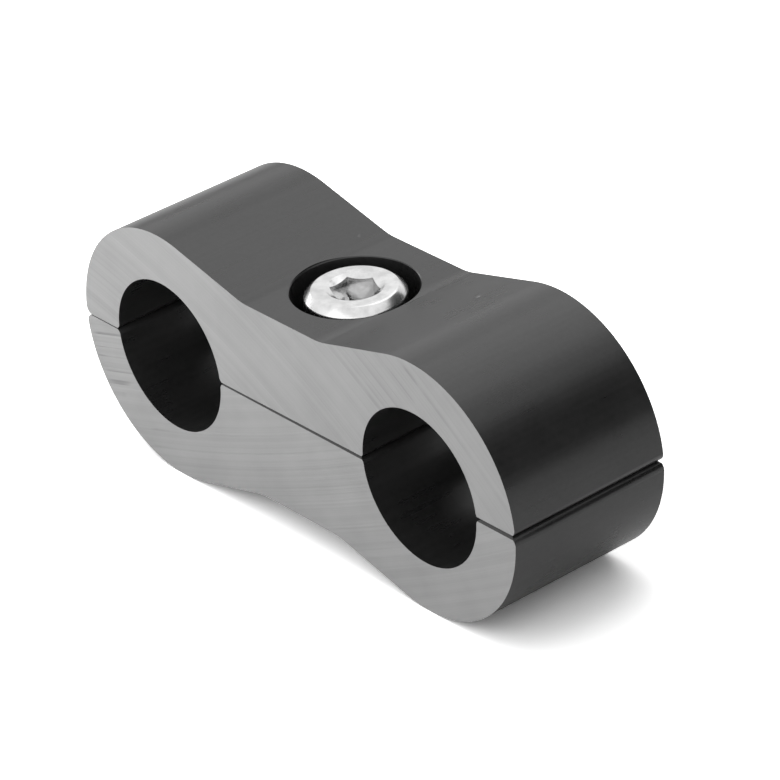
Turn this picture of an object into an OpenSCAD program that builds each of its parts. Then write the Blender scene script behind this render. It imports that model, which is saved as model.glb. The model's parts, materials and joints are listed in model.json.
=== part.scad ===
// Hose separator clamp: two black anodised aluminium halves that hold two hoses
// side by side, drawn together by one socket head cap screw.
// X runs along the clamp, Y along the hose bores and Z up the screw.
// The origin is the middle of the clamp, on the plane where the halves meet.

/* [Hose bores] */
// Diameter of each hose bore
bore_d = 11.1; // [9.2:0.1:13.4]
// Distance between the axes of the two bores
bore_spacing = 26; // [21.6:0.1:31.2]
// Wall left round each bore
wall = 3.7; // [3:0.1:4.5]

/* [Body] */
// Width of the slice that is sawn from the bar, which is the length of each bore
body_w = 12.7; // [10.5:0.1:16]
// Height across the flats of the waist
waist_h = 14.6; // [12.1:0.1:17.6]
// Length of the flats of the waist
waist_flat = 8; // [6.6:0.1:9.6]
// Radius that blends each flat into the slopes beside it
waist_blend = 5; // [2:0.1:8]
// Corner broken off where the halves meet, at the bores and at the ends
parting_break = 0.4; // [0.1:0.05:0.5]
// Burr filed off where the halves meet, along the sawn faces
sawn_break = 0.1; // [0.05:0.01:0.2]

/* [Screw] */
// Thread size, over the crests
screw_d = 4; // [3.3:0.1:4.8]
// Length under the head
screw_l = 10; // [8.3:0.1:12]
// Rise for each turn of the thread
screw_pitch = 0.7; // [0.5:0.05:0.8]
// Diameter of the head
head_d = 7; // [5.8:0.1:8.4]
// Height of the head
head_h = 4; // [3.3:0.1:4.8]
// Bevel round the top of the head
head_bevel = 0.45; // [0.1:0.05:0.6]
// Width across the flats of the key socket
key_af = 3; // [2.5:0.1:3.6]
// Depth of the flats of the key socket
key_depth = 2; // [1.6:0.1:2.4]
// Angle of the cones at the mouth and at the bottom of the key socket
key_cone = 120; // [90:1:140]
// Step from the flats of the key socket in to the drilled cone under them
key_step = 0.1; // [0.05:0.01:0.3]
// Turn of the key socket about the screw
key_turn = 38; // [0:1:60]

/* [Fits] */
// Radial gap between the head and its recess
head_gap = 0.85; // [0.3:0.05:1]
// How far the head stands out of its recess
head_proud = 0.1; // [-0.5:0.05:0.5]
// Radial gap between the shank and the upper half
shank_gap = 0.25; // [0.15:0.05:0.4]
// Radial gap between the thread and the lower half
thread_gap = 0.03; // [0.02:0.01:0.08]
// Bevel at the mouth of the recess
recess_bevel = 0.1; // [0.05:0.01:0.3]
// Bevel at both mouths of the tapped hole
tapped_bevel = 0.3; // [0.1:0.05:0.5]

/* [Hidden] */
$fn = 96;
// How far a cut runs clear of a face
past = 1;
// How deep a round surface dips under the surface it blends into, so that they cross cleanly
dip = 0.001;

bore_r = bore_d / 2;
lobe_r = bore_r + wall;
bore_x = bore_spacing / 2;
end_x = bore_x + lobe_r;

// The corner where a flat would meet its slope, seen from the axis of the bore beyond it
corner = [waist_flat / 2, waist_h / 2];
corner_far = norm(corner - [bore_x, 0]);
corner_turn = atan2(corner.y, corner.x - bore_x);

// The slope runs up from that corner and touches the round of the lobe
touch_turn = corner_turn - acos(lobe_r / corner_far);
touch = [bore_x, 0] + (lobe_r - dip) * [cos(touch_turn), sin(touch_turn)];
slope = touch_turn - 90;

// The blend starts on the flat and ends on the slope
blend_reach = waist_blend * tan(slope / 2);
blend_start = corner - [blend_reach, 0];
blend_end = corner + blend_reach * [cos(slope), sin(slope)];

// The screw, its seat and the holes round it
seat_z = waist_h / 2 + head_proud - head_h;
head_top = seat_z + head_h;
tip_z = seat_z - screw_l;
tip_bevel = screw_pitch * 0.8;
recess_r = head_d / 2 + head_gap;
clear_r = screw_d / 2 + shank_gap;
tapped_r = screw_d / 2 + thread_gap;

// The key socket, from its mouth down to the point of its drilled cone
key_corner_r = key_af / 2 / cos(30);
key_bottom = head_top - key_depth;
drill_r = key_af / 2 - key_step;
drill_tip = key_bottom - drill_r / tan(key_cone / 2);
mouth_tip = head_top - key_corner_r / tan(key_cone / 2);

// A square bar's end, turned on its corner, that breaks an edge by size from the side of the gap
module edge_cut(x, gap_side, size) {
    translate([x + gap_side * size, 0])
        rotate(45)
            square(2 * size * sqrt(2), center = true);
}

// The outside of the whole clamp, seen along the bores: two rounds and the waist between them
module clamp_outline() {
    rise = [[bore_x, 0], touch, blend_end, blend_start];
    difference() {
        union() {
            for (side = [-1, 1])
                translate([side * bore_x, 0])
                    circle(r = lobe_r);
            for (up = [0, 1])
                mirror([0, up])
                    polygon(concat(
                        rise,
                        [for (i = [len(rise) - 1 : -1 : 0]) [-rise[i].x, rise[i].y]]
                    ));
        }
        for (side = [-1, 1], up = [-1, 1])
            translate([side * blend_start.x, up * (blend_start.y + waist_blend - dip)])
                circle(r = waist_blend);
    }
}

// The upper half of that outline, with its bores and the broken corners where the halves meet
module half_outline() {
    difference() {
        clamp_outline();
        translate([-end_x - past, -end_x - past])
            square([2 * (end_x + past), end_x + past]);
        for (side = [0, 1])
            mirror([side, 0]) {
                translate([bore_x, 0])
                    circle(r = bore_r);
                edge_cut(bore_x - bore_r, 1, parting_break);
                edge_cut(bore_x + bore_r, -1, parting_break);
                edge_cut(end_x, 1, parting_break);
            }
    }
}

// One half as it is sawn from the bar, with the burrs filed off
module half_blank() {
    bar = 2 * sawn_break * sqrt(2);
    difference() {
        rotate([90, 0, 0])
            linear_extrude(body_w, center = true)
                half_outline();
        for (side = [-1, 1])
            translate([0, side * (body_w / 2 + sawn_break), 0])
                rotate([45, 0, 0])
                    cube([2 * (end_x + past), bar, bar], center = true);
    }
}

// The tool that cuts the recess for the head down from the waist, with a bevel at its mouth
module head_recess() {
    flare_r = recess_r + recess_bevel + past;
    rotate_extrude()
        polygon([
            [0, seat_z],
            [recess_r, seat_z],
            [recess_r, waist_h / 2 - recess_bevel],
            [flare_r, waist_h / 2 + past],
            [flare_r, waist_h / 2 + lobe_r],
            [0, waist_h / 2 + lobe_r],
        ]);
}

// The tool that cuts the tapped hole right through the lower half, with a bevel at both mouths
module tapped_hole() {
    flare_r = tapped_r + tapped_bevel + past;
    rotate_extrude()
        polygon([
            [0, -waist_h / 2 - past],
            [flare_r, -waist_h / 2 - past],
            [tapped_r, -waist_h / 2 + tapped_bevel],
            [tapped_r, -tapped_bevel],
            [flare_r, past],
            [0, past],
        ]);
}

module lower_half() {
    color("dimgray")
        difference() {
            mirror([0, 0, 1])
                half_blank();
            tapped_hole();
        }
}

module upper_half() {
    color("dimgray")
        difference() {
            half_blank();
            translate([0, 0, -past])
                cylinder(r = clear_r, h = lobe_r);
            head_recess();
        }
}

// The tool that forms the key socket: a hexagon, with a cone at its mouth and a drilled cone under it
module key_socket() {
    translate([0, 0, key_bottom])
        rotate(key_turn)
            cylinder(r = key_corner_r, h = key_depth + past, $fn = 6);
    rotate_extrude()
        polygon([
            [0, mouth_tip],
            [key_corner_r + past * tan(key_cone / 2), head_top + past],
            [0, head_top + past],
        ]);
    rotate_extrude()
        polygon([
            [0, drill_tip],
            [drill_r, key_bottom],
            [drill_r, head_top],
            [0, head_top],
        ]);
}

module clamp_screw() {
    color("silver")
        difference() {
            rotate_extrude()
                polygon([
                    [0, tip_z],
                    [screw_d / 2 - tip_bevel, tip_z],
                    [screw_d / 2, tip_z + tip_bevel],
                    [screw_d / 2, seat_z],
                    [head_d / 2, seat_z],
                    [head_d / 2, head_top - head_bevel],
                    [head_d / 2 - head_bevel, head_top],
                    [0, head_top],
                ]);
            key_socket();
        }
}

lower_half();
upper_half();
clamp_screw();
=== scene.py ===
# %% [markdown]
# # A hose separator clamp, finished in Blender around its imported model
# Two black anodised halves hold two hoses side by side, and one socket head cap screw draws them
# together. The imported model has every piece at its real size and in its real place. What it lacks is
# what the eye looks for on machined parts: edges that catch the light, the marks that the saw left,
# the satin of the anodising, and the screw's knurl and thread.

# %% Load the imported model
import json
import math

import bmesh
import bpy
from mathutils import Matrix, Quaternion, Vector


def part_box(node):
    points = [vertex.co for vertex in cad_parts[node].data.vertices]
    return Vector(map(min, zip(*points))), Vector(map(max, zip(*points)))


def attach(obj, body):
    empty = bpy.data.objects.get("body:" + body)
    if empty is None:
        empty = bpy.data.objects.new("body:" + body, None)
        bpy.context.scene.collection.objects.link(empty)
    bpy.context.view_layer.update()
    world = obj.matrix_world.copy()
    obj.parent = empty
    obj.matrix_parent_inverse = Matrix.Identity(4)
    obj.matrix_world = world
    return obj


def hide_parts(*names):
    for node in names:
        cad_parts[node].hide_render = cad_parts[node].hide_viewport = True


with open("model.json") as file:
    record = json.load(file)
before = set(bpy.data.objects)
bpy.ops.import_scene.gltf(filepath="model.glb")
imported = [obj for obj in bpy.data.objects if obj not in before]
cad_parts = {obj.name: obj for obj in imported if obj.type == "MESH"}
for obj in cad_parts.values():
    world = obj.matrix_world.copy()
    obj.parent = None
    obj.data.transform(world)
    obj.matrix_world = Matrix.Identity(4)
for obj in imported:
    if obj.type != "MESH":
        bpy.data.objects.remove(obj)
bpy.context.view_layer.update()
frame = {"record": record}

# %% [markdown]
# ## Sizes
# Blender works in metres, and these pieces have details of a tenth of a millimetre. A bevel or a
# boolean has tolerances of its own that are as large as such a detail, so each piece is modelled in
# millimetres, as on its drawing, and brought to metres in one step when it is finished.
#
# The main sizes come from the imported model: the boxes of its nodes, and the hose bore that its record
# gives. Only the details that those can't tell are written here as numbers.

# %% Sizes in millimetres
MM = 0.001


def box_mm(node):
    """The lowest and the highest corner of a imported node, in millimetres."""
    low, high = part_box(node)
    return low / MM, high / MM


bore = next(m for m in frame["record"]["mounts"] if m["name"] == "hose_bore_right")
bore_r = bore["dims"]["r_mm"]
bore_x = bore["pos_m"][0] / MM
width = bore["dims"]["length_mm"]
end_x = box_mm("upper_half")[1].x
lobe_r = box_mm("upper_half")[1].z
head_r = box_mm("clamp_screw")[1].x
head_top = box_mm("clamp_screw")[1].z
tip_z = box_mm("clamp_screw")[0].z

HEAD_PROUD = 0.1
waist_z = head_top - HEAD_PROUD
HEAD_H = 4
seat_z = head_top - HEAD_H
print(f"bores {2 * bore_r:.1f} at {2 * bore_x:.1f} in a slice {width:.1f} wide")
print(f"lobes {2 * lobe_r:.1f} high, waist {2 * waist_z:.1f}")
print(f"screw head {2 * head_r:.1f} x {HEAD_H}, seat at {seat_z:.1f}, tip at {tip_z:.1f}")

# %% [markdown]
# ## The camera
# The camera stands where the photograph's camera stood, worked out from the outline of the clamp, and
# a long lens fills the frame from there, so the perspective stays that of the photograph. The small
# roll keeps the slight lean that the clamp has near the edge of that picture.

# %% The camera
CAMERA_AZIMUTH = 52.42
CAMERA_ELEVATION = 29.29
CAMERA_ROLL = -5.36
CAMERA_DISTANCE = 304.9
LENS = 212
# The point that the camera looks at, a little to the right of the middle to leave room for the shadow
AIM = Vector((0.9, 1.4, -0.7)) * MM


def direction(azimuth, elevation):
    """The direction from the clamp to a place round it: azimuth 0 is in front, 90 is to the right."""
    turn = math.radians(azimuth)
    lift = math.radians(elevation)
    return Vector((math.sin(turn) * math.cos(lift), -math.cos(turn) * math.cos(lift), math.sin(lift)))


towards_camera = direction(CAMERA_AZIMUTH, CAMERA_ELEVATION)
camera = bpy.data.objects.new("camera", bpy.data.cameras.new("camera"))
camera.data.lens = LENS
camera.data.clip_start = 10 * MM
camera.data.clip_end = 10000 * MM
camera.location = AIM + towards_camera * CAMERA_DISTANCE * MM
camera.rotation_mode = "QUATERNION"
upright = towards_camera.to_track_quat("Z", "Y")
camera.rotation_quaternion = upright @ Quaternion((0, 0, 1), math.radians(CAMERA_ROLL))
bpy.context.scene.collection.objects.link(camera)
bpy.context.scene.camera = camera
print("camera at", [round(v / MM, 1) for v in camera.location])

# %% [markdown]
# ## Shader sums
# Shader maths reads best as sums. This small class wraps one output of a node, and the usual operators
# on it add Math nodes, so `1 - mask * 0.4` builds what it says. Any other node comes from its one
# method `node`, which takes the node's type, its settings and the values or links of its sockets.

# %% Shader sums
class Signal:
    """One output of a node in a tree of shader nodes, used in sums as a number is."""

    def __init__(self, tree, socket=None):
        self.tree = tree
        self.socket = socket

    def node(self, kind, settings, sockets, output=0):
        """Adds a node: first its settings, then the values or links of its sockets."""
        made = self.tree.nodes.new(kind)
        for name, value in settings.items():
            setattr(made, name, value)
        for name, value in sockets.items():
            if isinstance(value, Signal):
                self.tree.links.new(value.socket, made.inputs[name])
            else:
                made.inputs[name].default_value = value
        return Signal(self.tree, made.outputs[output] if made.outputs else None)

    def math(self, operation, *values):
        """A Math node on this and other signals or numbers."""
        return self.node("ShaderNodeMath", {"operation": operation}, dict(enumerate(values)))

    def __add__(self, other):
        return self.math("ADD", self, other)

    def __radd__(self, other):
        return self.math("ADD", other, self)

    def __sub__(self, other):
        return self.math("SUBTRACT", self, other)

    def __rsub__(self, other):
        return self.math("SUBTRACT", other, self)

    def __mul__(self, other):
        return self.math("MULTIPLY", self, other)

    def __rmul__(self, other):
        return self.math("MULTIPLY", other, self)

    def between(self, zero_at, one_at):
        """A soft step from 0 at one value to 1 at another."""
        sockets = {"Value": self, "From Min": zero_at, "From Max": one_at}
        return self.node("ShaderNodeMapRange", {"interpolation_type": "SMOOTHSTEP"}, sockets)

    def grey(self, dark, pale):
        """A neutral colour from dark at 0 to pale at 1."""
        # A Mix node has sockets for each kind of data. Its colours go in at 6 and 7 and come out at 2
        sockets = {0: self, 6: (dark, dark, dark, 1), 7: (pale, pale, pale, 1)}
        return self.node("ShaderNodeMix", {"data_type": "RGBA"}, sockets, 2)

    def distance(self, point):
        """How far this place is from a point."""
        return self.node("ShaderNodeVectorMath", {"operation": "DISTANCE"}, {0: self, 1: point}, "Value")

    def stretched(self, scale):
        """This place with each axis scaled, which stretches a pattern the other way."""
        return self.node("ShaderNodeMapping", {}, {"Vector": self, "Scale": scale})

    def noise(self, scale, detail, seed):
        """Soft noise round 0.5. The scale says how many features there are to a millimetre."""
        sockets = {"Vector": self, "W": seed, "Scale": scale, "Detail": detail}
        return self.node("ShaderNodeTexNoise", {"noise_dimensions": "4D"}, sockets)

    def lines(self, scale, detail):
        """Noise along one number, which draws lines where that number is a distance."""
        sockets = {"W": self, "Scale": scale, "Detail": detail}
        return self.node("ShaderNodeTexNoise", {"noise_dimensions": "1D"}, sockets)


def new_material(name):
    """An empty material, and the signal that its nodes start from."""
    material = bpy.data.materials.new(name)
    material.use_nodes = True
    material.node_tree.nodes.clear()
    return material, Signal(material.node_tree)


def place_in_mm(start):
    """The place on a piece, in millimetres."""
    return start.node("ShaderNodeTexCoord", {}, {}, "Object").stretched((1 / MM, 1 / MM, 1 / MM))


def finish_matte(start, colour):
    """Ends a material that has no gloss."""
    surface = start.node("ShaderNodeBsdfDiffuse", {}, {"Color": colour})
    start.node("ShaderNodeOutputMaterial", {}, {"Surface": surface})


def finish_material(start, height, depth, sockets):
    """Ends a material with a bump of some depth in millimetres, a surface and the output."""
    bump = start.node("ShaderNodeBump", {}, {"Height": height, "Distance": depth * MM, "Strength": 1})
    surface = start.node("ShaderNodeBsdfPrincipled", {}, {**sockets, "Normal": bump})
    start.node("ShaderNodeOutputMaterial", {}, {"Surface": surface})


# %% [markdown]
# ## Black anodising
# The halves are slices of one drawn bar. Drawing leaves faint lines along it, which is the way the
# hoses run. The bar is etched to a satin, anodised and dyed black, so its surface is a dark body under
# a clear skin of oxide. The skin's index, higher than that of plastic, gives the black its grey sheen.
# The lines are noise stretched along the hoses, the satin is fine even noise, and a wide cloud keeps
# the tone from being the same all over. Two pale specks are where the skin was knocked through, and
# noise makes their rims ragged, because a chip is never round.

# %% Black anodising
OXIDE_INDEX = 1.58
DYED_BLACK = 0.012
BARE_METAL = 0.3
# How unevenly the dye has taken, as a share of the way to bare metal
DYE_UNEVEN = 0.04
SPECK_R = 0.2
SLOPE_SPECK = (8.84, 3.15, 8.5)
WAIST_SPECK = (-5.0, 4.55, 7.6)
# The speck on the waist only just breaks the skin
WAIST_SPECK_TONE = 0.2


def black_anodised():
    """The drawn and anodised surfaces of a half."""
    material, start = new_material("black_anodised")
    place = place_in_mm(start)
    die_lines = place.stretched((3, 0.04, 3)).noise(scale=1, detail=1, seed=0)
    satin = place.noise(scale=3, detail=2, seed=1)
    cloud = place.noise(scale=0.25, detail=3, seed=4)
    tone = die_lines * 0.3 + cloud * 0.4 + satin * 0.3
    ragged = place.noise(scale=4, detail=2, seed=5) * 2 * SPECK_R
    slope_speck = (place.distance(SLOPE_SPECK) + ragged).between(2 * SPECK_R, SPECK_R)
    waist_speck = (place.distance(WAIST_SPECK) + ragged).between(2 * SPECK_R, SPECK_R)
    bare = slope_speck + waist_speck * WAIST_SPECK_TONE
    sockets = {
        "Base Color": (tone.between(0.3, 0.7) * DYE_UNEVEN + bare).grey(DYED_BLACK, BARE_METAL),
        "Roughness": 0.22 + die_lines * 0.05 + cloud * 0.08,
        "IOR": OXIDE_INDEX,
    }
    finish_material(start, satin, depth=0.002, sockets=sockets)
    return material


anodised = black_anodised()
print("material:", anodised.name)

# %% [markdown]
# ## Sawn faces
# The bar was anodised before it was cut, so the two faces of each slice are bare aluminium with the
# marks of the blade. A circular blade leaves arcs round the place where its spindle stood, so the
# marks are noise along the distance to that place. The two halves were cut apart and matched later:
# their arcs have different centres and cross at an angle along the split. Some deeper scores show as
# short dark strokes, where narrow lines meet patches of wide noise.

# %% Sawn faces
SAWN_ALUMINIUM = 0.35
# How much paler the palest marks of the saw are
SAWN_MARKS = 0.09


def sawn(name, spindle, entry, scores):
    """A sawn face. Its arcs run round the spindle, and its strokes lie round the entry of the blade."""
    material, start = new_material(name)
    place = place_in_mm(start)
    radius = place.distance(spindle)
    coarse = radius.lines(scale=1.3, detail=2)
    fine = radius.lines(scale=7, detail=3)
    cloud = place.noise(scale=0.3, detail=3, seed=2)
    tone = coarse * 0.3 + fine * 0.35 + cloud * 0.35
    narrow = radius.lines(scale=2.2, detail=1).between(0.56, 0.66)
    patches = place.noise(scale=0.35, detail=1, seed=7).between(0.42, 0.55)
    near_entry = place.distance(entry).between(11, 5)
    strokes = narrow * patches * near_entry
    marks = tone.between(0.25, 0.75) * SAWN_MARKS
    sockets = {
        "Base Color": (SAWN_ALUMINIUM + marks - strokes * scores).grey(dark=0, pale=1),
        "Metallic": 0.9,
        "Roughness": 0.42 + fine * 0.16,
    }
    finish_material(start, fine + coarse * 0.5 - strokes * 0.5, depth=0.008, sockets=sockets)
    return material


sawn_upper = sawn("sawn_upper", spindle=(-36.8, 0, -66), entry=(12, 0, 8), scores=0.05)
sawn_lower = sawn("sawn_lower", spindle=(-59, 0, 137), entry=(-21, 0, -4), scores=0.16)
print("materials:", sawn_upper.name, sawn_lower.name)

# %% [markdown]
# ## Bright steel
# The screw is cold headed and bright plated. The face of its head keeps the rings of the last turning
# cut, and its plating is a little uneven, which shows as soft changes of gloss. The punch that made
# the key socket has burnished its walls, so below the mouth the steel is smoother. The walls mirror
# one another there, which gives the socket its bright middle between dark corners. The root of the
# thread lies within the same radius, and the rolling has left it as smooth.

# %% Bright steel
# The burnished steel lies within this radius, and this far below the face of the head
BURNISHED_R = 1.9
BURNISHED_DEPTH = 0.4
# Over how much the change of gloss is spread
BURNISHED_EDGE = 0.1


def bright_steel():
    """The plated steel of the screw."""
    material, start = new_material("bright_steel")
    place = place_in_mm(start)
    cloud = place.noise(scale=1.2, detail=3, seed=1)
    radius = place.stretched((1, 1, 0)).distance((0, 0, 0))
    rings = radius.lines(scale=9, detail=2)
    height = place.node("ShaderNodeSeparateXYZ", {}, {"Vector": place}, "Z")
    inner = radius.between(BURNISHED_R, BURNISHED_R - BURNISHED_EDGE)
    top_z = head_top - BURNISHED_DEPTH
    burnished = inner * height.between(top_z, top_z - BURNISHED_EDGE)
    sockets = {
        "Base Color": cloud.between(0.3, 0.7).grey(dark=0.64, pale=0.8),
        "Metallic": 1.0,
        "Roughness": 0.15 + cloud * 0.16 - burnished * 0.12,
    }
    finish_material(start, rings * 0.4 + cloud, depth=0.006, sockets=sockets)
    return material


steel = bright_steel()
print("material:", steel.name)

# %% [markdown]
# ## Tools for meshes
# An outline is drawn as on paper, from one point to the next: `line` goes straight and `arc` swings
# round a centre, by spinning the last vertex. A turned piece is half a section spun about the screw's
# axis. A corner of the section is rounded by a bevel while it is still a flat line of edges, because
# one vertex is then a whole ring of the piece. `combine` is a boolean with the exact solver, baked at
# once, so each later step works on a plain mesh. An operator returns all it made in one list, and
# `only` picks the vertices or the edges out of it.

# %% Mesh helpers
ARC_STEP = 2
FEWEST_STEPS = 4
ROUND_STEPS = 96
# Two vertices nearer than this are one
NEAR = 0.001


def only(kind, geometry):
    """Those things of one kind that an operator made."""
    return [g for g in geometry if isinstance(g, kind)]


def line(mesh, start, x, z):
    """Draws an edge from a vertex to a place, and returns the new vertex."""
    end = mesh.verts.new((x, start.co.y, z))
    mesh.edges.new((start, end))
    return end


def arc(mesh, start, centre, degrees):
    """Swings a vertex round a centre, counter-clockwise from the front, and returns the last vertex."""
    steps = max(FEWEST_STEPS, math.ceil(abs(degrees) / ARC_STEP))
    swung = bmesh.ops.spin(
        mesh, geom=[start], cent=centre, axis=(0, -1, 0),
        angle=math.radians(degrees), steps=steps, use_merge=False,
    )
    return only(bmesh.types.BMVert, swung["geom_last"])[0]


def new_piece(name, mesh, materials):
    """Makes an object of a mesh, with its normals outward."""
    bmesh.ops.recalc_face_normals(mesh, faces=mesh.faces)
    data = bpy.data.meshes.new(name)
    mesh.to_mesh(data)
    mesh.free()
    for material in materials:
        data.materials.append(material)
    piece = bpy.data.objects.new(name, data)
    bpy.context.scene.collection.objects.link(piece)
    return piece


def combine(piece, tool, operation):
    """Cuts a piece with a tool or joins the two, which uses up the tool.

    The tool's faces take the piece's first material."""
    boolean = piece.modifiers.new("boolean", "BOOLEAN")
    boolean.operation = operation
    boolean.solver = "EXACT"
    boolean.object = tool
    shape = piece.evaluated_get(bpy.context.evaluated_depsgraph_get())
    baked = bpy.data.meshes.new_from_object(shape)
    piece.modifiers.clear()
    piece.data = baked
    bpy.data.objects.remove(tool)


def turned(name, section, material, steps=ROUND_STEPS, rounded=()):
    """A piece turned from half a section, which starts and ends on the screw's axis.

    rounded lists the corners to round, each with how far from the corner its arc starts."""
    mesh = bmesh.new()
    verts = [mesh.verts.new((r, 0, z)) for r, z in section]
    for pair in zip(verts, verts[1:]):
        mesh.edges.new(pair)
    for place, size in rounded:
        corner_vert = verts[section.index(place)]
        bmesh.ops.bevel(
            mesh, geom=[corner_vert], offset=size, segments=3,
            profile=0.5, affect="VERTICES", material=-1,
        )
    bmesh.ops.spin(
        mesh, geom=mesh.verts[:] + mesh.edges[:], cent=(0, 0, 0), axis=(0, 0, 1),
        angle=math.tau, steps=steps, use_merge=True,
    )
    bmesh.ops.remove_doubles(mesh, verts=mesh.verts, dist=NEAR)
    return new_piece(name, mesh, [material])


print(f"arcs have a vertex for each {ARC_STEP} degrees")

# %% [markdown]
# ## The outline of a half
# The outline is that of the drawn bar, split where the hoses lie. From the flat of the waist a blend
# leads into a slope, which touches the lobe round the hose. Where the halves meet, the corners are
# rounded: outside, where they make the groove along the end of the clamp, and at the bores, where a
# sharp corner would cut into the hose. The slope is the tangent from the waist's corner to the lobe.

# %% The outline of a half
END_BREAK = 0.6
BORE_BREAK = 0.45
WAIST_FLAT = 8
WAIST_BLEND = 5
corner = Vector((WAIST_FLAT / 2, 0, waist_z))
reach = corner - Vector((bore_x, 0, 0))
touch_turn = math.atan2(reach.z, reach.x) - math.acos(lobe_r / reach.length)
slope = touch_turn - math.pi / 2
blend_reach = WAIST_BLEND * math.tan(slope / 2)


def half_outline(mesh):
    """The right side of the outline: the waist, the slope, the lobe, the split, the bore and the split."""
    front = -width / 2
    blend = Vector((corner.x - blend_reach, front, waist_z + WAIST_BLEND))
    lobe = Vector((bore_x, front, 0))
    here = line(mesh, mesh.verts.new((0, front, waist_z)), blend.x, waist_z)
    here = arc(mesh, here, blend, math.degrees(slope))
    here = line(mesh, here, bore_x + lobe_r * math.cos(touch_turn), lobe_r * math.sin(touch_turn))
    end_turn = math.asin(END_BREAK / (lobe_r - END_BREAK))
    here = arc(mesh, here, lobe, math.degrees(end_turn - touch_turn))
    shoulder = (lobe_r - END_BREAK) * math.cos(end_turn)
    here = arc(mesh, here, (bore_x + shoulder, front, END_BREAK), -90 - math.degrees(end_turn))
    bore_turn = math.asin(BORE_BREAK / (bore_r + BORE_BREAK))
    lip = (bore_r + BORE_BREAK) * math.cos(bore_turn)
    swing = 90 - math.degrees(bore_turn)
    here = line(mesh, here, bore_x + lip, 0)
    here = arc(mesh, here, (bore_x + lip, front, BORE_BREAK), -swing)
    here = arc(mesh, here, lobe, 180 - 2 * math.degrees(bore_turn))
    here = arc(mesh, here, (bore_x - lip, front, BORE_BREAK), -swing)
    line(mesh, here, 0, 0)


print(f"slope of {math.degrees(slope):.1f} degrees from the waist to the lobe")

# %% [markdown]
# ## Sawing the slice
# A half is its outline, mirrored, filled and drawn out to the width of the slice. Its rims are then
# softened by a very small bevel, as the saw leaves them after a light deburring. Along the split the
# rims were filed by hand, and a little more towards the right end, so the groove there is a slanting
# cut instead of a bevel. The lower half is the same blank turned over.

# %% The two blanks
FILE_LEFT = 0.04
FILE_RIGHT = 0.17
RIM_SOFT = 0.05
# How far the normal of a face points along the bores, on a sawn face and on its soft rim
SAWN_TILT = 0.99
RIM_TILT = 0.3
# How far the normal of a filed cut points down
FILED_TILT = 0.6


def half_blank(name, sawn_material):
    """A half without its holes. Its second material is the sawn one."""
    mesh = bmesh.new()
    half_outline(mesh)
    bmesh.ops.mirror(mesh, geom=mesh.verts[:] + mesh.edges[:], axis="X", merge_dist=NEAR)
    bmesh.ops.remove_doubles(mesh, verts=mesh.verts, dist=NEAR)
    face = bmesh.ops.contextual_create(mesh, geom=mesh.edges[:])["faces"]
    drawn = bmesh.ops.extrude_face_region(mesh, geom=face)["geom"]
    bmesh.ops.translate(mesh, vec=(0, width, 0), verts=only(bmesh.types.BMVert, drawn))
    bmesh.ops.recalc_face_normals(mesh, faces=mesh.faces)
    for side in (-1, 1):
        filed = bmesh.ops.bisect_plane(
            mesh,
            geom=mesh.verts[:] + mesh.edges[:] + mesh.faces[:],
            dist=NEAR,
            plane_co=(-end_x, side * width / 2, FILE_LEFT),
            plane_no=((FILE_RIGHT - FILE_LEFT) / (2 * end_x), side, -1),
            clear_outer=True,
        )
        bmesh.ops.edgenet_fill(mesh, edges=only(bmesh.types.BMEdge, filed["geom_cut"]))
    bmesh.ops.recalc_face_normals(mesh, faces=mesh.faces)
    rims = {edge for face in mesh.faces if abs(face.normal.y) > SAWN_TILT for edge in face.edges}
    bmesh.ops.bevel(
        mesh, geom=list(rims), offset=RIM_SOFT, segments=2,
        profile=0.5, affect="EDGES", material=-1, clamp_overlap=True,
    )
    for face in mesh.faces:
        is_filed = face.normal.z < -FILED_TILT and face.calc_center_median().z < FILE_RIGHT
        face.material_index = int(abs(face.normal.y) > RIM_TILT and not is_filed)
    return new_piece(name, mesh, [anodised, sawn_material])


upper = half_blank("upper_clamp_half", sawn_upper)
lower = half_blank("lower_clamp_half", sawn_lower)
lower.data.transform(Matrix.Scale(-1, 4, (0, 0, 1)))
lower.data.flip_normals()
print("faces of the blanks:", len(upper.data.polygons), len(lower.data.polygons))

# %% [markdown]
# ## The holes
# The upper half has a flat-bottomed recess for the screw's head and a clearance hole below it. The
# cutting tools are turned solids, and booleans take them out of the half, as the drill and the
# counterbore do. The recess's edge is crisp in the photograph, so only a hair is taken off it.

# %% Recess and clearance hole
RECESS_GAP = 0.85
recess_r = head_r + RECESS_GAP
RECESS_BREAK = 0.06
RECESS_STEPS = 128
CLEAR_R = 2.25
# How far a cutting tool runs past the surface that it cuts
OVER = 3
recess = [
    (0, seat_z),
    (recess_r, seat_z),
    (recess_r, waist_z - RECESS_BREAK),
    (recess_r + RECESS_BREAK, waist_z),
    (recess_r + RECESS_BREAK, waist_z + OVER),
    (0, waist_z + OVER),
]
combine(upper, turned("recess", recess, anodised, steps=RECESS_STEPS), "DIFFERENCE")
clearance = [(0, -OVER), (CLEAR_R, -OVER), (CLEAR_R, seat_z + OVER), (0, seat_z + OVER)]
combine(upper, turned("clearance", clearance, anodised), "DIFFERENCE")
print(f"recess {2 * recess_r:.1f} across and {waist_z - seat_z:.1f} deep, clearance hole {2 * CLEAR_R:.1f}")

# %% [markdown]
# ## The thread
# A thread is a ridge of one section carried round and up at once. `spin` does that when it is given a
# rise for each step, and the ridge then joins the screw's core. The same ridge, a hair larger, is the
# tap that cuts the lower half. Both start on the same side, whole turns apart in height, so they run
# in step when the clamp is shut, and again after each full turn. At its ends the ridge sinks into the
# core, as a rolled thread does at the screw's point and under its head.

# %% The thread
PITCH = 0.7
CREST_R = 2.0
ROOT_R = 1.57
crest_flat = PITCH / 8
# How much a flank of 30 degrees rises along the axis for each step outwards
flank = math.tan(math.radians(30))
PLAY = 0.03
TURN_STEPS = 40
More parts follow.
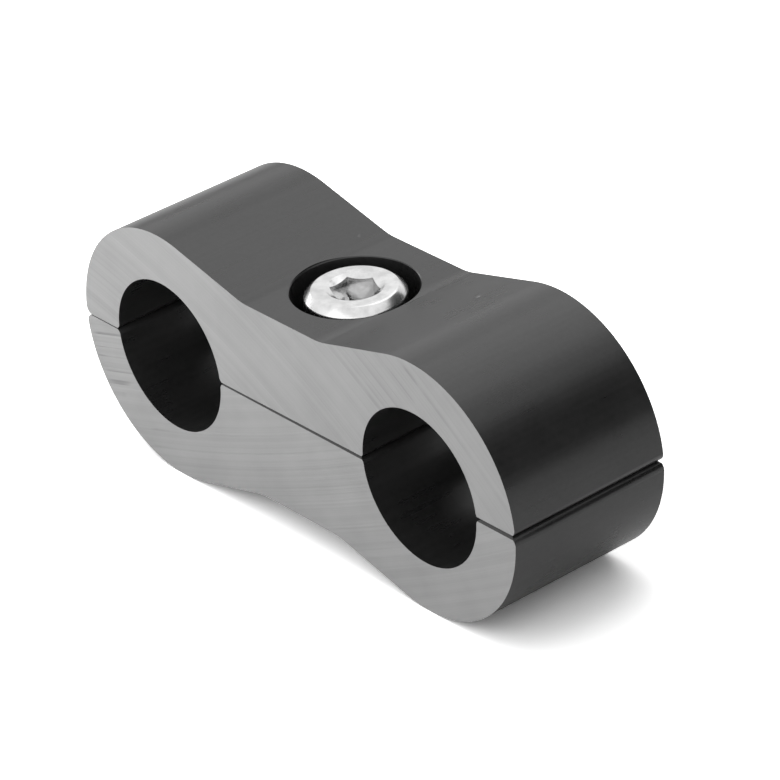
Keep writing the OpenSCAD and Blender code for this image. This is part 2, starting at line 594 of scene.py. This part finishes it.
# How far the foot of the ridge is sunk into what it joins
SUNK = 0.07


def ridge(name, material, top_r, foot_r, low, turns, spare, limit):
    """A helical ridge from a height up. limit gives the largest radius that it may have at a height."""
    mesh = bmesh.new()
    top = crest_flat / 2 + (CREST_R - top_r) * flank + spare
    foot = crest_flat / 2 + (CREST_R - foot_r) * flank + spare
    section = [(foot_r, low - foot), (top_r, low - top), (top_r, low + top), (foot_r, low + foot)]
    verts = [mesh.verts.new((r, 0, z)) for r, z in section]
    edges = [mesh.edges.new(pair) for pair in zip(verts, verts[1:] + verts[:1])]
    wound = bmesh.ops.spin(
        mesh, geom=verts + edges, cent=(0, 0, 0), axis=(0, 0, 1), dvec=(0, 0, PITCH / TURN_STEPS),
        angle=math.tau * turns, steps=TURN_STEPS * turns, use_merge=False,
    )
    bmesh.ops.contextual_create(mesh, geom=edges)
    bmesh.ops.contextual_create(mesh, geom=only(bmesh.types.BMEdge, wound["geom_last"]))
    for vert in mesh.verts:
        r = math.hypot(vert.co.x, vert.co.y)
        shrink = max(foot_r, min(r, limit(vert.co.z))) / r
        vert.co.x *= shrink
        vert.co.y *= shrink
    return new_piece(name, mesh, [material])


TIP_BREAK = 0.3
# The bare ends: from the point to the first turn, and from the last turn to the head at least
LEAD = 0.55
NECK = 0.4
RUN_OUT = 0.8
thread_low = tip_z + LEAD
thread_turns = math.floor((seat_z - NECK - thread_low) / PITCH)
thread_top = thread_low + thread_turns * PITCH


def screw_limit(z):
    """The thread grows from the point's chamfer, and runs out under the head."""
    return min(ROOT_R - TIP_BREAK + z - tip_z, ROOT_R + (thread_top - z) * RUN_OUT)


screw_ridge = ridge(
    "screw_ridge", steel, top_r=CREST_R, foot_r=ROOT_R - SUNK,
    low=thread_low, turns=thread_turns, spare=0, limit=screw_limit,
)
print(f"M4 thread with {thread_turns} turns of {PITCH} mm from z {thread_low:.2f} to {thread_top:.2f}")

# %% [markdown]
# ## The tapped hole
# The hole is drilled at the thread's inner size, countersunk at both ends, and cut by the tap. One
# turned tool with a cone at either end does the first two. The tap is the screw's ridge with some
# play all round, and it runs past the half at both ends, as a real tap does in a through hole.

# %% The tapped hole
MINOR_R = 1.65
TAPPED_BREAK = 0.3
# How many turns longer than the hole the tap is, for its two ends
TAP_SPARE = 4
mouth_r = CREST_R + PLAY + TAPPED_BREAK
tap_drill = [
    (0, -waist_z - OVER),
    (mouth_r + OVER, -waist_z - OVER),
    (MINOR_R, -waist_z + mouth_r - MINOR_R),
    (MINOR_R, MINOR_R - mouth_r),
    (mouth_r + OVER, OVER),
    (0, OVER),
]
combine(lower, turned("tap_drill", tap_drill, anodised), "DIFFERENCE")
tap_turns = math.ceil((waist_z + TAP_SPARE * PITCH) / PITCH)
tap_low = thread_low - PITCH * math.ceil((thread_low + waist_z + PITCH) / PITCH)
tap_high = tap_low + tap_turns * PITCH
tap = ridge(
    "tap", anodised, top_r=CREST_R + PLAY, foot_r=MINOR_R - SUNK,
    low=tap_low, turns=tap_turns, spare=PLAY, limit=lambda z: CREST_R + PLAY,
)
combine(lower, tap, "DIFFERENCE")
print(f"tapped hole {2 * MINOR_R:.2f} inside its thread, tap from z {tap_low:.2f} to {tap_high:.2f}")

# %% [markdown]
# ## The screw
# The screw's body is one turned section: a chamfered point, the core of the thread with a fillet under
# the head, the flat bearing face, the side of the head and the broad bevel round its top, whose two
# corners the tumbling has rounded. The side is knurled by moving two of its rings in and out, four
# vertices to a groove, which keeps the bevel above it clean.

# %% The screw's body
KNURLS = 48
KNURL_DEPTH = 0.11
GROOVE_STEPS = 4
FILLET = 0.3
HEAD_FOOT = 0.2
HEAD_BEVEL = 0.6
BEVEL_SLOPE = 0.9
TUMBLED = 0.1
# From the knurl's end to the corner above it, a little more than the corner's rounding takes
KNURL_GAP = 0.12
side_top = head_top - HEAD_BEVEL * BEVEL_SLOPE
knurl_low = seat_z + 2 * HEAD_FOOT
knurl_high = side_top - KNURL_GAP
under_head = (ROOT_R, seat_z)
side_corner = (head_r, side_top)
face_corner = (head_r - HEAD_BEVEL, head_top)
section = [
    (0, tip_z),
    (ROOT_R - TIP_BREAK, tip_z),
    (ROOT_R, tip_z + TIP_BREAK),
    under_head,
    (head_r - HEAD_FOOT, seat_z),
    (head_r, seat_z + HEAD_FOOT),
    (head_r, knurl_low),
    (head_r, knurl_high),
    side_corner,
    face_corner,
    (0, head_top),
]
rounded = [(under_head, FILLET), (side_corner, TUMBLED), (face_corner, TUMBLED)]
screw = turned("cap_screw", section, steel, steps=KNURLS * GROOVE_STEPS, rounded=rounded)
for vert in screw.data.vertices:
    if knurl_low - NEAR < vert.co.z < knurl_high + NEAR:
        turn = math.atan2(vert.co.y, vert.co.x)
        sink = KNURL_DEPTH * (0.5 - 0.5 * math.cos(KNURLS * turn))
        vert.co.x *= 1 - sink / head_r
        vert.co.y *= 1 - sink / head_r
combine(screw, screw_ridge, "UNION")
print(f"screw {head_top - tip_z:.1f} long over all, {KNURLS} knurls of {KNURL_DEPTH} mm")

# %% [markdown]
# ## The key socket
# The socket is punched: a hexagonal hole with a conical mouth that guides the key, over the cone of the
# drill that went before the punch. Its turn is where the photograph shows its corners.

# %% The key socket
KEY_AF = 3
KEY_DEPTH = 2
KEY_TURN = 38
MOUTH_EXTRA = 0.25
DRILL_R = 1.4
key_r = KEY_AF / 2 / math.cos(math.pi / 6)
punch = bmesh.new()
# The operator puts a corner on Y, so a quarter turn back counts the turn from X
punch_turn = Matrix.Rotation(math.radians(KEY_TURN - 90), 4, "Z")
bmesh.ops.create_cone(
    punch, cap_ends=True, segments=6, radius1=key_r, radius2=key_r,
    depth=2 * KEY_DEPTH, matrix=Matrix.Translation((0, 0, head_top)) @ punch_turn,
)
combine(screw, new_piece("punch", punch, [steel]), "DIFFERENCE")
cone_r = key_r + MOUTH_EXTRA
mouth = [(0, head_top - cone_r * flank), (cone_r + OVER / flank, head_top + OVER), (0, head_top + OVER)]
combine(screw, turned("mouth", mouth, steel), "DIFFERENCE")
key_floor = head_top - KEY_DEPTH
drill = [(0, key_floor - DRILL_R * flank), (DRILL_R, key_floor), (DRILL_R, head_top), (0, head_top)]
combine(screw, turned("drill", drill, steel), "DIFFERENCE")
print(f"key {KEY_AF} across flats, {2 * key_r:.2f} across corners, {KEY_DEPTH} deep")

# %% [markdown]
# ## In place of the imported pieces
# Each finished piece takes the place of its imported node and rides on the same body. Shading is smooth,
# and breaks where faces meet at a clear angle. A flat face next to a soft rim would take over some of
# the rim's tilt and look dished, so the normals are weighted: the larger face decides them.

# %% In place of the imported pieces
SHARP_ANGLE = 25
for piece, node, slot in (
    (upper, "upper_half", "black_anodised"),
    (lower, "lower_half", "black_anodised"),
    (screw, "clamp_screw", "bright_screw"),
):
    piece.data.transform(Matrix.Scale(MM, 4))
    piece.data.shade_smooth()
    piece.data.set_sharp_from_angle(angle=math.radians(SHARP_ANGLE))
    weighted = piece.modifiers.new("weighted_normals", "WEIGHTED_NORMAL")
    weighted.keep_sharp = True
    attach(piece, node)
    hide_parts(node)
    print(piece.name, "in place of", node, "with", len(piece.data.polygons), "faces")

# %% [markdown]
# ## Floor and backdrop
# The clamp stands on a plain pale floor under an even white studio sky. The photograph's floor is
# overexposed to white, with only the darkest of the shadow left. The floor's colour depends on the
# kind of ray for that: what the camera sees of it is brighter than what lights the clamp.

# %% Floor and backdrop
FLOOR_COLOUR = 0.9
FLOOR_SEEN = 2.0
FLOOR_REACH = 1.5
AMBIENT = 0.65

floor_mesh = bmesh.new()
floor_place = Matrix.Translation((0, 0, -lobe_r * MM))
bmesh.ops.create_grid(floor_mesh, x_segments=1, y_segments=1, size=FLOOR_REACH, matrix=floor_place)
floor_material, start = new_material("floor")
seen = start.node("ShaderNodeLightPath", {}, {}, "Is Camera Ray")
finish_matte(start, seen.grey(FLOOR_COLOUR, FLOOR_SEEN))
floor = new_piece("floor", floor_mesh, [floor_material])

world = bpy.data.worlds.new("studio")
bpy.context.scene.world = world
world.use_nodes = True
world.node_tree.nodes.clear()
start = Signal(world.node_tree)
camera_ray = start.node("ShaderNodeLightPath", {}, {}, "Is Camera Ray")
glossy_ray = start.node("ShaderNodeLightPath", {}, {}, "Is Glossy Ray")
strength = AMBIENT + (1 - AMBIENT) * (camera_ray + glossy_ray)
sky = start.node("ShaderNodeBackground", {}, {"Color": (1, 1, 1, 1), "Strength": strength})
start.node("ShaderNodeOutputWorld", {}, {"Surface": sky})
print(f"floor at z {-lobe_r:.2f} mm, ambient light {AMBIENT}")

# %% [markdown]
# ## Lamps and cards
# One large soft light high on the left makes the shadow. A small one low and near on the left makes the
# sawn faces paler at that end, and a wide weak one in front fills them. Black surfaces show mostly what
# they reflect, so they are lit by what stands round them. The pale band down the left lobe is the
# bright sky and floor, seen at a grazing angle. A weak light behind the clamp, high up, lies in the
# tops of the lobes and in the slope on the left, and a dark card on the horizon keeps the slope on the
# right from being paler than that. The dark band down the right lobe is a large card behind the clamp
# on the right, and a card beside it darkens the screw's bevel.
#
# Cards are hidden from the camera. A lamp does not hide the sky behind it in a reflection but adds to
# it, so the light that makes the shadow is hidden from reflections, or the bright screw would burn out.

# %% Lamps and cards
CARD_BLACK = (0.01, 0.01, 0.01, 1)

card_material, start = new_material("card")
finish_matte(start, CARD_BLACK)


def facing(azimuth, elevation, distance):
    """The place and turn of something that stands round the clamp and faces it."""
    away = direction(azimuth, elevation)
    return Matrix.Translation(away * distance) @ away.to_track_quat("Z", "Y").to_matrix().to_4x4()


def softbox(name, azimuth, elevation, distance, across, high, level):
    """A soft light. Its level is what it adds to a white surface that faces it."""
    lamp = bpy.data.lights.new(name, "AREA")
    lamp.shape = "RECTANGLE"
    lamp.size = across
    lamp.size_y = high
    # One pi is for the spread of the lamp's light, the other for that of what the surface sends back
    lamp.energy = level * math.pi * math.pi * distance ** 2
    place = bpy.data.objects.new(name, lamp)
    place.matrix_world = facing(azimuth, elevation, distance)
    bpy.context.scene.collection.objects.link(place)
    return place


def dark_card(name, azimuth, elevation, distance, across, high):
    """A dark card, seen in reflections but not by the camera."""
    mesh = bmesh.new()
    place = facing(azimuth, elevation, distance) @ Matrix.Diagonal((across / 2, high / 2, 1, 1))
    bmesh.ops.create_grid(mesh, x_segments=1, y_segments=1, size=1, matrix=place)
    card = new_piece(name, mesh, [card_material])
    card.visible_camera = False


key = softbox("key", azimuth=-78, elevation=76, distance=0.4, across=0.4, high=0.4, level=0.25)
key.visible_glossy = False
softbox("side", azimuth=-62, elevation=8, distance=0.12, across=0.15, high=0.05, level=0.4)
softbox("front", azimuth=10, elevation=35, distance=1.2, across=1.2, high=1.2, level=0.2)
softbox("top", azimuth=200, elevation=54, distance=0.5, across=0.36, high=0.36, level=0.08)
dark_card("card_right", azimuth=132, elevation=24, distance=0.5, across=0.64, high=0.36)
dark_card("card_back", azimuth=168, elevation=32, distance=0.5, across=0.26, high=0.26)
dark_card("card_left", azimuth=240, elevation=6, distance=0.5, across=0.15, high=0.05)

bpy.context.scene.view_settings.view_transform = "Standard"
